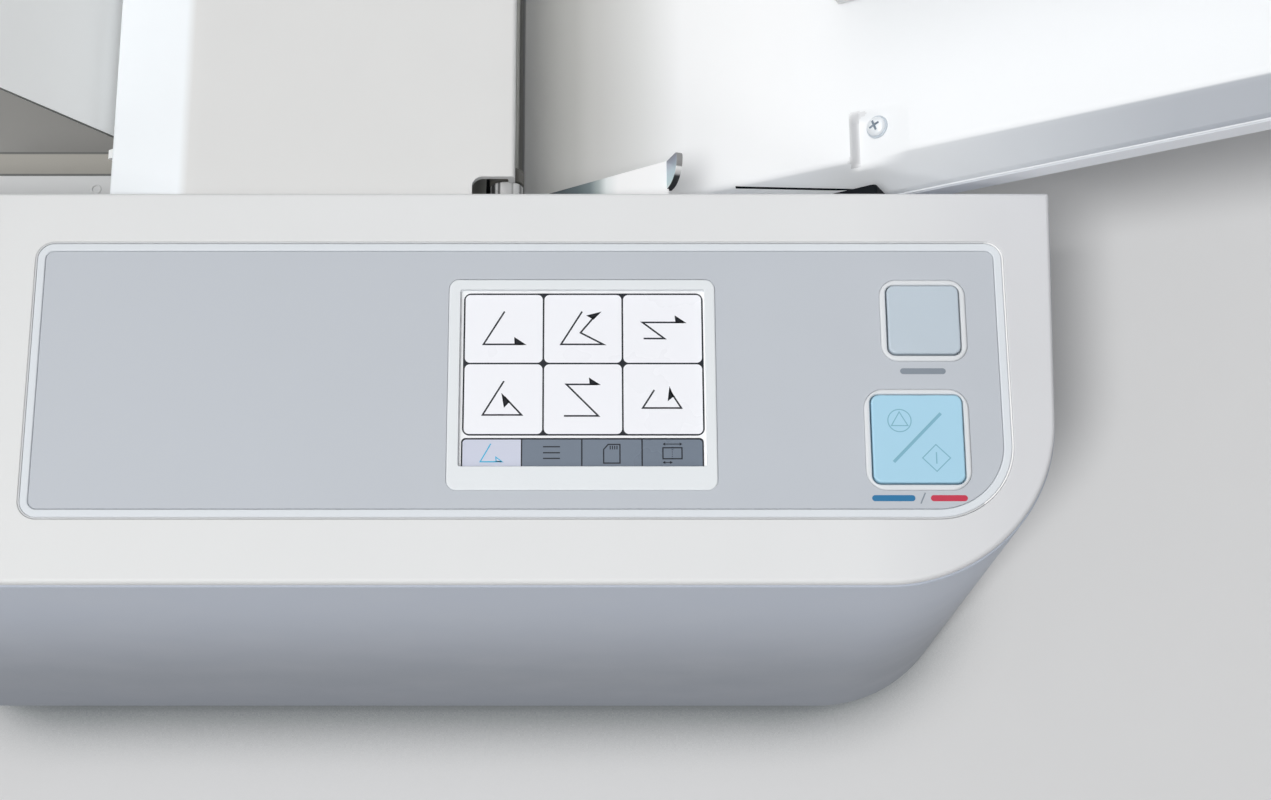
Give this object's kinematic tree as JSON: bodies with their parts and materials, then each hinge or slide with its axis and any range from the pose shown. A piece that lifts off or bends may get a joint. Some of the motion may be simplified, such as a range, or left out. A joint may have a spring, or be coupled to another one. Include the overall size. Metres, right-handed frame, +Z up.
{
  "type": "paper folding machine",
  "caption": "Desktop paper folding machine: a feed tray runs down to rubber fold rollers, fold plates turn each sheet and a short conveyor stacks it.",
  "frame": {"origin": "middle of the footprint's bounding box, on the table the feet stand on", "axes": "+X towards the outer end of the feed tray, +Z up, -Y towards the operator's side with the control panel"},
  "size_m": [0.81, 0.54, 0.4103],
  "materials": {
    "white_plastic": "fine satin moulded plastic",
    "grey_plastic": "fine satin moulded plastic",
    "dark_plastic": "satin moulded plastic",
    "fascia_film": "smooth matt printed film",
    "screen": "flat touch glass over a lit display",
    "test_cap": "satin key cap",
    "start_cap": "satin key cap",
    "circuit_board": "solder mask",
    "steel_plate": "plain cold rolled steel",
    "zinc_steel": "bright zinc plate",
    "bright_pin": "bright nickel plate",
    "sheet_metal": "light grey powder coat",
    "dark_sheet": "dark satin paint",
    "motor_can": "dark satin paint",
    "rubber": "ground matt rubber",
    "pad": "cork filled rubber"
  },
  "bodies": {
    "machine": {"base_pan": "dark_plastic", "foot_front_left": "rubber", "foot_front_right": "rubber", "foot_rear_left": "rubber", "foot_rear_right": "rubber", "operator_side_frame": "steel_plate", "drive_side_frame": "steel_plate", "operator_housing": "grey_plastic", "control_cover": "white_plastic", "panel_plate": "white_plastic", "control_fascia": "fascia_film", "screen_bezel": "white_plastic", "touch_screen": "screen", "test_button_ring": "white_plastic", "start_button_ring": "white_plastic", "control_board": "circuit_board", "drive_housing": "grey_plastic", "drive_cover": "white_plastic", "power_inlet": "dark_plastic", "power_supply": "sheet_metal", "drive_motor": "motor_can", "main_belt": "rubber", "feed_belt": "rubber", "delivery_belt": "rubber", "cover_hinge_pin_front": "bright_pin", "cover_hinge_pin_rear": "bright_pin", "gate_plate": "dark_sheet", "separator_pad": "pad", "feed_tray": "white_plastic", "feed_tray_base": "grey_plastic", "fold_plate_1": "sheet_metal", "fold_plate_2": "sheet_metal", "delivery_bed": "sheet_metal", "conveyor_belt": "rubber", "exit_side_cover_front": "white_plastic", "exit_side_cover_rear": "white_plastic"},
    "test_button": {"test_button": "test_cap"},
    "start_stop_button": {"start_stop_button": "start_cap"},
    "power_switch": {"power_switch": "dark_plastic"},
    "fold_roller_1": {"fold_roller_1": "rubber", "fold_gear_1": "steel_plate"},
    "fold_roller_2": {"fold_roller_2": "rubber", "fold_gear_2": "steel_plate"},
    "fold_roller_3": {"fold_roller_3": "rubber", "fold_gear_3": "steel_plate"},
    "fold_roller_4": {"fold_roller_4": "rubber", "fold_gear_4": "steel_plate"},
    "feed_roller": {"feed_roller": "rubber"},
    "motor_pulley": {"motor_pulley": "steel_plate"},
    "roller_cover": {"roller_cover": "white_plastic"},
    "lift_plate": {"lift_plate": "steel_plate"},
    "feed_lever": {"feed_lever": "zinc_steel"},
    "side_guide_front": {"side_guide_front": "white_plastic"},
    "side_guide_rear": {"side_guide_rear": "white_plastic"},
    "fold_plate_1_stop": {"fold_plate_1_stop": "dark_plastic"},
    "fold_plate_2_stop": {"fold_plate_2_stop": "dark_plastic"},
    "conveyor_drive_roller": {"conveyor_drive_roller": "rubber"},
    "conveyor_idle_roller": {"conveyor_idle_roller": "rubber"},
    "stacker_carriage": {"stacker_carriage": "white_plastic"},
    "stacker_wheels": {"stacker_wheels": "rubber"}
  },
  "joints": [
    {"name": "test_press", "type": "slide", "parent": "machine", "child": "test_button", "axis": [0, 0, -1], "range_m": [0, 0.0015], "stiffness_N_per_m": 600, "springref_m": -0.001},
    {"name": "start_stop_press", "type": "slide", "parent": "machine", "child": "start_stop_button", "axis": [0, 0, -1], "range_m": [0, 0.002], "stiffness_N_per_m": 600, "springref_m": -0.001},
    {"name": "power_rock", "type": "hinge", "parent": "machine", "child": "power_switch", "pos_m": [-0.06, 0.265, 0.06], "axis": [1, 0, 0], "range_deg": [-8, 8]},
    {"name": "fold_1_turn", "type": "hinge", "parent": "machine", "child": "fold_roller_1", "pos_m": [-0.05, 0.02435, 0.185], "axis": [0, 1, 0], "continuous": true},
    {"name": "fold_2_turn", "type": "hinge", "parent": "machine", "child": "fold_roller_2", "pos_m": [-0.05, 0.02435, 0.153], "axis": [0, 1, 0], "continuous": true},
    {"name": "fold_3_turn", "type": "hinge", "parent": "machine", "child": "fold_roller_3", "pos_m": [-0.082, 0.02435, 0.153], "axis": [0, 1, 0], "continuous": true},
    {"name": "fold_4_turn", "type": "hinge", "parent": "machine", "child": "fold_roller_4", "pos_m": [-0.082, 0.02435, 0.121], "axis": [0, 1, 0], "continuous": true},
    {"name": "feed_turn", "type": "hinge", "parent": "machine", "child": "feed_roller", "pos_m": [-0.007, 0.02435, 0.1875], "axis": [0, 1, 0], "continuous": true},
    {"name": "motor_turn", "type": "hinge", "parent": "machine", "child": "motor_pulley", "pos_m": [-0.022, 0.21, 0.05], "axis": [0, 1, 0], "continuous": true},
    {"name": "conveyor_drive_turn", "type": "hinge", "parent": "machine", "child": "conveyor_drive_roller", "pos_m": [-0.11, 0.02435, 0.106], "axis": [0, 1, 0], "continuous": true},
    {"name": "conveyor_idle_turn", "type": "hinge", "parent": "machine", "child": "conveyor_idle_roller", "pos_m": [-0.386, 0.02435, 0.058], "axis": [0, 1, 0], "continuous": true},
    {"name": "cover_open", "type": "hinge", "parent": "machine", "child": "roller_cover", "pos_m": [0.002, 0.02435, 0.206], "axis": [0, 1, 0], "range_deg": [0, 75]},
    {"name": "lever_press", "type": "hinge", "parent": "machine", "child": "feed_lever", "pos_m": [-0.02, -0.16, 0.196], "axis": [0, 1, 0], "range_deg": [0, 15], "stiffness_Nm_per_rad": 0.6, "springref_deg": -14.32},
    {"name": "lift_drop", "type": "hinge", "parent": "machine", "child": "lift_plate", "pos_m": [0.074, 0.02435, 0.1845], "axis": [0, 1, 0], "range_deg": [-9, 0]},
    {"name": "guide_front_slide", "type": "slide", "parent": "machine", "child": "side_guide_front", "axis": [0, 1, 0], "range_m": [-0.03, 0.05]},
    {"name": "guide_rear_slide", "type": "slide", "parent": "machine", "child": "side_guide_rear", "axis": [0, 1, 0], "range_m": [-0.05, 0.03]},
    {"name": "stop_1_slide", "type": "slide", "parent": "machine", "child": "fold_plate_1_stop", "axis": [-0.6018, 0, 0.7986], "range_m": [-0.11, 0.08]},
    {"name": "stop_2_slide", "type": "slide", "parent": "machine", "child": "fold_plate_2_stop", "axis": [0.9272, 0, -0.3746], "range_m": [-0.05, 0.08]},
    {"name": "stacker_slide", "type": "slide", "parent": "machine", "child": "stacker_carriage", "axis": [0.9852, 0, 0.1713], "range_m": [-0.1, 0.05]},
    {"name": "stacker_wheels_turn", "type": "hinge", "parent": "stacker_carriage", "child": "stacker_wheels", "pos_m": [-0.2223, 0.02435, 0.1087], "axis": [0, 1, 0], "continuous": true}
  ],
  "couplings": [
    {"joint": "fold_1_turn", "follows": "fold_2_turn", "ratio": -1},
    {"joint": "fold_3_turn", "follows": "fold_2_turn", "ratio": -1},
    {"joint": "fold_4_turn", "follows": "fold_2_turn", "ratio": 1},
    {"joint": "feed_turn", "follows": "fold_2_turn", "ratio": -1},
    {"joint": "motor_turn", "follows": "fold_2_turn", "ratio": 2},
    {"joint": "conveyor_drive_turn", "follows": "fold_2_turn", "ratio": 1},
    {"joint": "conveyor_idle_turn", "follows": "fold_2_turn", "ratio": 1},
    {"joint": "lift_drop", "follows": "lever_press", "ratio": -0.6},
    {"joint": "guide_rear_slide", "follows": "guide_front_slide", "ratio": -1}
  ]
}
